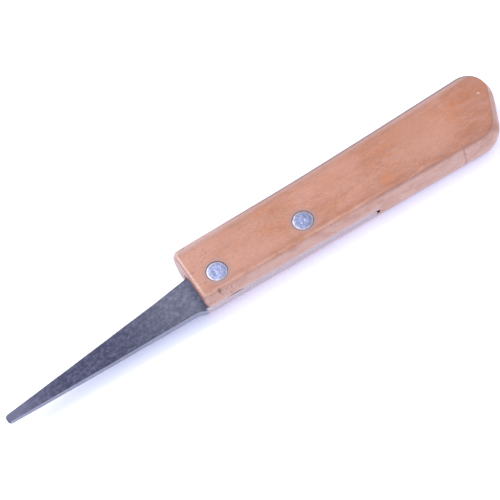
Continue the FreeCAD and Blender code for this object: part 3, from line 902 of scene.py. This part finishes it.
class Graph(Nodes):
    """A node material whose base colour is laid in layers."""

    def __init__(self, name, base):
        self.material = bpy.data.materials.new(name)
        super().__init__(self.material)
        self.base = base
        self.place = self.scaled(self.add("TexCoord", "Object", {}), (1 / MM, 1 / MM, 1 / MM))

    def scaled(self, vector, scale):
        return self.add("Mapping", "Vector", {"Vector": vector, "Scale": scale})

    def noise(self, scale, detail=3.0, roughness=0.5, warp=0.0):
        """Noise over the object, in millimetres; three scales stretch it along the axes."""
        vector = self.place
        if isinstance(scale, tuple):
            vector, scale = self.scaled(vector, scale), 1.0
        inputs = {"Vector": vector, "Scale": scale, "Detail": detail,
                  "Roughness": roughness, "Distortion": warp}
        return self.add("TexNoise", "Fac", inputs)

    def spread(self, value, low, high, start=0.0, end=1.0):
        inputs = {"Value": value, "From Min": low, "From Max": high, "To Min": start, "To Max": end}
        return self.add("MapRange", "Result", inputs, interpolation_type="SMOOTHSTEP")

    def math(self, operation, first, second=0.0):
        return self.add("Math", 0, {0: first, 1: second}, operation=operation)

    def times(self, first, second):
        return self.math("MULTIPLY", first, second)

    def broken(self, mask, noise, low, high, start, end):
        """A mask made uneven: its strength goes from start to end with a noise."""
        return self.times(mask, self.spread(noise, low, high, start, end))

    def mix(self, amount, first, second, blend="MIX"):
        """Blend two colours, each a socket or an amount of red, green and blue."""
        first, second = [
            tint if isinstance(tint, bpy.types.NodeSocket) else (*tint, 1.0)
            for tint in (first, second)]
        inputs = {0: amount, 6: first, 7: second}
        return self.add("Mix", 2, inputs, data_type="RGBA", blend_type=blend)

    def lay(self, mask, tint):
        """Lay a colour over what is laid so far, where a mask says."""
        self.base = self.mix(mask, self.base, tint)

    def bump(self, height, strength, distance, normal=None):
        inputs = {"Height": height, "Strength": strength, "Distance": distance * MM}
        if normal is not None:
            inputs["Normal"] = normal
        return self.add("Bump", "Normal", inputs)

    def vector(self, operation, output, first, second):
        return self.add("VectorMath", output, {0: first, 1: second}, operation=operation)

    def spot(self, drawn, low, high):
        """1 at a point of the drawing and 0 away from it, seen from above."""
        centre = (drawn[0] + DRAWING_ORIGIN[0], drawn[1] + DRAWING_ORIGIN[1], 0.0)
        flat = self.scaled(self.place, (1, 1, 0))
        return self.spread(self.vector("DISTANCE", "Value", flat, centre), low, high, 1.0, 0.0)

    def stroke(self, start, end, reach):
        """1 along a straight scratch between two points of the drawing and 0 beside it."""
        start = np.array([*start, 0.0]) + DRAWING_ORIGIN * (1, 1, 0)
        run = np.array([*end, 0.0]) + DRAWING_ORIGIN * (1, 1, 0) - start
        length = float(np.linalg.norm(run))
        run = run / length
        side = (-run[1], run[0], 0.0)
        gap = self.vector("SUBTRACT", "Vector", self.place, start)
        along = self.vector("DOT_PRODUCT", "Value", gap, run)
        off = self.vector("DOT_PRODUCT", "Value", gap, side)
        beside = self.spread(self.math("ABSOLUTE", off), reach / 3, reach, 1.0, 0.0)
        inside = self.broken(self.spread(along, 0.0, 1.5), along, length - 3.0, length, 1.0, 0.0)
        return self.times(beside, inside)

    def finish(self, **values):
        """Set the shader's own inputs, with the laid colour as its base colour."""
        values["Base_Color"] = self.base
        surface = self.tree.nodes["Principled BSDF"]
        for key, value in values.items():
            self.feed(surface.inputs[key.replace("_", " ")], value)
        return self.material


TAN = (0.353, 0.147, 0.089)
ORANGE = (0.365, 0.128, 0.055)
PINK = (0.376, 0.172, 0.122)
BROWN = (0.23, 0.082, 0.046)
PALE = (0.500, 0.310, 0.260)

# Noises of the wood: scales along the axes, detail, roughness and distortion.
WOOD_NOISES = {
    "growth": ((0.03, 0.6, 0.6), 3.0, 0.6, 0.5),
    "fibres": ((0.3, 3.0, 3.0), 4.0, 0.7, 0.0),
    "flecks": ((0.6, 2.6, 2.6), 2.0, 0.5, 0.0),
    "blotch": ((0.06, 0.11, 0.11), 3.0, 0.55, 0.5),
    "patches": ((0.15, 0.34, 0.34), 4.0, 0.62, 0.4),
    "grain": ((0.9, 1.8, 1.8), 4.0, 0.7, 0.0),
    "handled": ((0.035, 0.075, 0.075), 2.0, 0.5, 0.3),
    "pores": ((3.0, 3.0, 3.0), 2.0, 0.6, 0.0),
    "specks": ((1.2, 1.8, 1.8), 1.0, 0.5, 0.0),
}

# Colours laid over the tan: noise, its value at none and at most, how much, colour.
WOOD_TONES = (
    ("blotch", 0.38, 0.66, 1.00, ORANGE),
    ("patches", 0.42, 0.68, 1.00, PINK),
    ("patches", 0.45, 0.28, 0.55, BROWN),
    ("growth", 0.45, 0.75, 0.35, BROWN),
    ("fibres", 0.52, 0.78, 0.35, BROWN),
    ("flecks", 0.60, 0.72, 0.35, BROWN),
    ("flecks", 0.40, 0.28, 0.25, PALE),
)
HANDLED_TONES = (
    ("handled", 0.52, 0.36, 0.50, PINK),
    ("handled", 0.50, 0.64, 0.30, ORANGE),
)

# Stains: place in the drawing, full within, gone beyond, how much, colour.
WOOD_STAINS = (
    ((94.0, 1.0), 4.0, 16.0, 0.55, (0.385, 0.192, 0.142)),
    ((75.0, -7.5), 0.8, 4.0, 0.55, (0.42, 0.128, 0.042)),
    ((107.7, -8.8), 1.5, 6.0, 0.40, (0.23, 0.085, 0.055)),
    ((105.4, 10.3), 0.5, 4.5, 0.45, (0.45, 0.27, 0.22)),
)

# Single marks, by their place in the drawing.
KNOT = (6.0, -10.3)
PALE_DENT = (119.5, 3.0)
CRACK_X = 103.1
CRACK_WOBBLE = 1.6
SCRATCHES = (((79.0, -11.9), (90.6, -9.7)), ((83.0, -11.7), (89.5, -10.6)))
SCRATCH_REACH = 0.25
# Reach of the painted shade round the rivet seats, past the head's rim.
RING_START = 0.15
RING_END = 2.2


def lay_tones(graph, noises, tones):
    for name, low, high, amount, tint in tones:
        graph.lay(graph.spread(noises[name], low, high, 0.0, amount), tint)


def bare_wood(graph, noises, from_front):
    """The wood's blotches, fibres and flecks, rosier at the front and browner at the butt."""
    lay_tones(graph, noises, WOOD_TONES)
    for name, low, high, start, end in (("grain", 0.32, 0.68, 0.88, 1.13),
                                        ("handled", 0.36, 0.64, 1.06, 0.93)):
        shade_level = graph.spread(noises[name], low, high, start, end)
        graph.base = graph.mix(1.0, graph.base, shade_level, "MULTIPLY")
    lay_tones(graph, noises, HANDLED_TONES)
    graph.lay(graph.spread(from_front, 2, 40, 0.45, 0.0), PINK)


def stained_wood_and_painted_light(graph, noises, from_front):
    """The stains, the browner butt, the darker bands inside the arrises, painted light on the paler
    crests, and the dark ends.
    """
    patches = noises["patches"]
    for spot, low, high, amount, tint in WOOD_STAINS:
        stain = graph.spot(spot, low, high)
        graph.lay(graph.broken(stain, patches, 0.3, 0.6, amount, amount * 0.6), tint)
    graph.lay(graph.spread(from_front, 100, 122, 0.0, 0.22), BROWN)
    # Darker band just inside the broad faces' arrises.
    graph.lay(graph.broken("crease", patches, 0.3, 0.6, 0.65, 0.3), BROWN)
    # Painted light: the crests are laid paler, for the light that falls on the sides.
    graph.lay(graph.broken("crest", patches, 0.3, 0.65, 0.50, 0.95), PALE)
    graph.lay(graph.broken("end_grain", noises["pores"], 0.4, 0.7, 0.35, 0.8), (0.27, 0.14, 0.11))


def rubbed_wood_and_painted_light(graph, noises, from_front):
    """The rims and arrises: pale where rubbed, darker under the rear arris, painted shade along the
    far slope and round the butt's crest, a painted highlight on the kerf's lip, and painted shade
    round the rivet seats.
    """
    graph.lay(graph.broken("worn", noises["patches"], 0.3, 0.7, 0.1, 0.5), PALE)
    front_grey = graph.spread(from_front, 10, 34, 1.0, 0.0)
    rim = graph.mix(front_grey, (0.355, 0.205, 0.178), (0.37, 0.25, 0.245))
    rim = graph.mix(graph.spread(from_front, 66, 100), rim, (0.385, 0.245, 0.225))
    graph.lay(graph.broken("far_rim", noises["flecks"], 0.3, 0.7, 0.6, 1.0), rim)
    # Painted shade along the far slope and round the butt's crest.
    graph.lay(graph.times("far_slope_shade", 0.9), (0.165, 0.105, 0.115))
    # Darker along the arris under the rear half of the spine side.
    dark_arris = graph.broken("dark_arris", noises["fibres"], 0.35, 0.6, 0.15, 0.8)
    graph.lay(dark_arris, (0.26, 0.115, 0.095))
    front_arris = graph.broken("front_arris", noises["grain"], 0.4, 0.6, 0.3, 0.95)
    graph.lay(front_arris, (0.52, 0.36, 0.33))
    near_front = graph.spread(from_front, 4, 26, 0.75, 0.25)
    graph.lay(graph.broken(near_front, noises["specks"], 0.62, 0.72, 0.0, 1.0), (0.18, 0.08, 0.07))
    # Painted highlight along the kerf's lip.
    lip = graph.broken("lip", noises["fibres"], 0.3, 0.7, 0.5, 1.0)
    graph.lay(graph.broken(lip, from_front, 30, 62, 1.0, 0.45), (0.58, 0.45, 0.48))
    # Painted shade: a darker ring round each rivet seat, where the head's gap shades the wood.
    for rivet in RIVETS.values():
        seat_shade = graph.spot(rivet, HEAD_RADIUS + RING_START, HEAD_RADIUS + RING_END)
        graph.lay(graph.times(seat_shade, 0.7), (0.25, 0.15, 0.15))


def crack_line(graph, from_front):
    """A fine crack round the side near the butt."""
    wobble = graph.times(graph.noise(0.8, 2.0), CRACK_WOBBLE)
    off_crack = graph.math("SUBTRACT", graph.math("ADD", from_front, wobble), CRACK_X)
    return graph.broken("crest", graph.math("ABSOLUTE", off_crack), 0.05, 0.55, 0.5, 0.0)


def handle_wood():
    """Oiled wood worn by the hand: blotches, fibres, flecks, pale edges, dark ends, marks."""
    graph = Graph("handle_wood", TAN)
    noises = {name: graph.noise(*settings) for name, settings in WOOD_NOISES.items()}
    along = graph.add("SeparateXYZ", "X", {"Vector": graph.place})
    from_front = graph.math("SUBTRACT", along, DRAWING_ORIGIN[0])
    bare_wood(graph, noises, from_front)
    stained_wood_and_painted_light(graph, noises, from_front)
    rubbed_wood_and_painted_light(graph, noises, from_front)

    knot = graph.spot(KNOT, 0.2, 0.9)
    graph.lay(graph.times(knot, 0.75), (0.10, 0.05, 0.035))
    graph.lay(graph.times(graph.spot(PALE_DENT, 0.15, 0.8), 0.5), (0.60, 0.45, 0.38))
    crack = crack_line(graph, from_front)
    graph.lay(crack, (0.20, 0.08, 0.075))
    strokes = [graph.stroke(start, end, SCRATCH_REACH) for start, end in SCRATCHES]
    scratched = graph.math("MAXIMUM", *strokes)
    graph.lay(graph.broken(scratched, noises["fibres"], 0.4, 0.6, 0.05, 0.6), (0.50, 0.30, 0.24))
    # Painted shade: the saw's end hole is laid near black.
    graph.lay("hole", (0.02, 0.008, 0.01))

    height = graph.math("ADD", noises["fibres"], graph.times(noises["flecks"], 0.8))
    normal = graph.bump(height, 0.35, 0.08)
    normal = graph.bump(noises["patches"], 0.25, 0.3, normal)
    normal = graph.bump(graph.times(graph.math("ADD", knot, crack), -1.0), 0.5, 0.3, normal)
    roughness = graph.spread(noises["patches"], 0.3, 0.7, 0.36, 0.55)
    return graph.finish(Roughness=roughness, Normal=normal, Coat_Weight=0.35, Coat_Roughness=0.3)


def forged_steel():
    """Dark mill scale with lighter rubbed specks, a brighter ground back, a painted shadow by the
    handle and a painted highlight on the tang's arris.
    """
    scale, clean = (0.036, 0.038, 0.074), (0.080, 0.084, 0.130)
    graph = Graph("blade_steel", scale)
    mottle = graph.noise(0.75, 5.0, 0.7, 0.4)
    specks = graph.noise(2.2, 3.0, 0.6)
    grinding = graph.noise((0.3, 5.0, 5.0), 3.0, 0.6)
    cloud = graph.noise((0.06, 0.14, 0.14), 2.0)
    graph.lay(graph.spread(mottle, 0.40, 0.75, 0.0, 0.65), clean)
    graph.lay(graph.spread(specks, 0.58, 0.74, 0.0, 0.5), clean)
    graph.lay(graph.broken("cleaned", cloud, 0.3, 0.6, 0.6, 0.9), (0.092, 0.098, 0.138))
    graph.lay(graph.times("tip", 0.55), (0.118, 0.124, 0.19))
    # Painted shadow of the handle's front on the blade.
    graph.lay(graph.times("handle_shadow", 0.6), scale)
    bright = graph.mix("tang", (0.315, 0.322, 0.40), (0.455, 0.39, 0.40))
    graph.lay(graph.broken("ground", grinding, 0.3, 0.7, 0.7, 1.0), bright)
    # Painted highlight on the tang's back arris, and a paler cutting edge.
    graph.lay(graph.broken("highlight_and_edge_line", specks, 0.35, 0.6, 0.4, 0.9), (0.66, 0.56, 0.62))
    normal = graph.bump(graph.math("ADD", mottle, graph.times(specks, 0.5)), 0.3, 0.1)
    normal = graph.bump(grinding, 0.12, 0.04, normal)
    roughness = graph.spread(mottle, 0.35, 0.7, 0.62, 0.42)
    return graph.finish(Roughness=roughness, Normal=normal, Metallic=0.85)


def rivet_metal():
    """Soft bluish aluminium, scratched and dented, with a painted highlight on its rim."""
    graph = Graph("rivet_metal", (0.145, 0.168, 0.265))
    dents = graph.noise(0.7, 3.0, 0.6, 0.6)
    scratches = graph.noise((0.7, 9.0, 4.0), 3.0, 0.7, 0.2)
    grime = graph.noise(2.3, 4.0, 0.7)
    graph.lay(graph.spread(dents, 0.36, 0.66), (0.225, 0.250, 0.400))
    graph.lay(graph.spread(scratches, 0.58, 0.72, 0.0, 0.5), (0.32, 0.34, 0.47))
    graph.lay(graph.spread(grime, 0.58, 0.74, 0.0, 0.45), (0.10, 0.105, 0.20))
    # Painted highlight on the rim of each head.
    graph.lay(graph.times("rim", 0.85), (0.35, 0.33, 0.40))
    normal = graph.bump(dents, 0.5, 0.2)
    normal = graph.bump(scratches, 0.3, 0.03, normal)
    roughness = graph.spread(grime, 0.35, 0.7, 0.3, 0.5)
    return graph.finish(Roughness=roughness, Normal=normal, Metallic=1.0)


def studio_floor():
    """Plain white translucent table, faintly lit from below, which keeps shadows pale."""
    graph = Graph("studio_floor", (0.86, 0.86, 0.87))
    graph.lay(graph.spread(graph.noise(0.02, 2.0), 0.3, 0.7), (0.88, 0.88, 0.89))
    return graph.finish(
        Roughness=0.8, Emission_Color=(0.46, 0.55, 1.0, 1.0), Emission_Strength=0.36)


# ---- studio

LENS = 127.0
CAMERA_DISTANCE = 0.600
CAMERA_HEADING = math.radians(20.35)
CAMERA_ELEVATION = math.radians(59.65)
CAMERA_ROLL = math.radians(13.4)
SENSOR_WIDTH = 36.0
CLIP_START = 0.01
TARGET_FROM_MIDDLE = Vector((-0.0011, 0.0025, -0.0050))
FLOOR_HALF = 2.5
TENT_LOW = (0.86, 0.90, 1.20, 1.0)
TENT_HIGH = (1.0, 0.99, 1.0, 1.0)
TENT_TURN = 0.75
TENT_STRENGTH = 1.2
KEY_PLACE = (-0.25, 0.55, 0.9)
KEY_SIZE = 0.7
KEY_POWER = 7.0
KEY_TINT = (1.0, 0.99, 0.97)


def make_camera():
    """The photograph's camera: above the knife, turned and rolled."""
    level = math.cos(CAMERA_ELEVATION)
    forward = Vector((math.sin(CAMERA_HEADING) * level, math.cos(CAMERA_HEADING) * level,
                      -math.sin(CAMERA_ELEVATION)))
    flat_right = Vector((math.cos(CAMERA_HEADING), -math.sin(CAMERA_HEADING), 0))
    flat_up = flat_right.cross(forward)
    right = flat_right * math.cos(CAMERA_ROLL) - flat_up * math.sin(CAMERA_ROLL)
    up = right.cross(forward)
    target = (CAD_LOW + CAD_HIGH) / 2 + TARGET_FROM_MIDDLE
    turn = Matrix((right, up, -forward)).transposed().to_4x4()
    camera = bpy.data.objects.new("camera", bpy.data.cameras.new("camera"))
    camera.matrix_world = Matrix.Translation(target - forward * CAMERA_DISTANCE) @ turn
    camera.data.lens = LENS
    camera.data.sensor_width = SENSOR_WIDTH
    camera.data.clip_start = CLIP_START
    bpy.context.scene.collection.objects.link(camera)
    bpy.context.scene.camera = camera


def make_floor():
    skin = Skin()
    steps = np.linspace(-FLOOR_HALF, FLOOR_HALF, 9) / MM
    grid = np.stack(np.meshgrid(steps, steps, indexing="ij"), 2)
    level = np.full(grid.shape[:2] + (1,), -DRAWING_ORIGIN[2])
    skin.grid(np.concatenate([grid, level], 2))
    floor = skin.make("floor")
    floor.data.materials.append(studio_floor())


def make_light(name, place, size, power, tint):
    lamp = bpy.data.lights.new(name, "AREA")
    lamp.shape = "DISK"
    lamp.size = size
    lamp.energy = power
    lamp.color = tint
    light = bpy.data.objects.new(name, lamp)
    light.location = place
    light.rotation_euler = (-Vector(place)).to_track_quat("-Z", "Y").to_euler()
    bpy.context.scene.collection.objects.link(light)


def make_studio():
    """A light tent: white above and lavender low down, with one broad soft light behind."""
    world = bpy.data.worlds.new("tent")
    tent = Nodes(world)
    direction = tent.add("TexCoord", "Generated", {})
    level = tent.add("SeparateXYZ", "Z", {"Vector": direction})
    height = tent.add("MapRange", "Result", {"Value": level, "From Max": TENT_TURN})
    tint = tent.add("Mix", 2, {0: height, 6: TENT_LOW, 7: TENT_HIGH}, data_type="RGBA")
    background = tent.tree.nodes["Background"]
    tent.feed(background.inputs["Color"], tint)
    tent.feed(background.inputs["Strength"], TENT_STRENGTH)
    bpy.context.scene.world = world
    make_light("key", KEY_PLACE, KEY_SIZE, KEY_POWER, KEY_TINT)
    bpy.context.scene.view_settings.view_transform = "Standard"


# ---- assembly

SHARP_ANGLE = 50.0


def finish_piece(piece, material, node):
    """Give a piece its material and smooth shading, hang it under the root body, and hide the CAD
    node it replaces.
    """
    piece.data.materials.clear()
    piece.data.materials.append(material)
    shade(piece, SHARP_ANGLE)
    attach(piece, "root")
    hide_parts(node)


make_camera()
make_floor()
make_studio()

handle = make_handle()
paint_handle(handle)
finish_piece(handle, handle_wood(), "handle")

blade = make_blade()
paint_blade(blade)
finish_piece(blade, forged_steel(), "blade")

metal = rivet_metal()
for number, (place_name, centre) in enumerate(RIVETS.items()):
    for kind, shank, side in (("pin", PIN_SHANK, 1), ("shell", SHELL_SHANK, -1)):
        name = "%s_rivet_%s" % (place_name, kind)
        piece = make_rivet_half("peened_" + name, centre, shank, side, 10 + 2 * number)
        finish_piece(piece, metal, name)
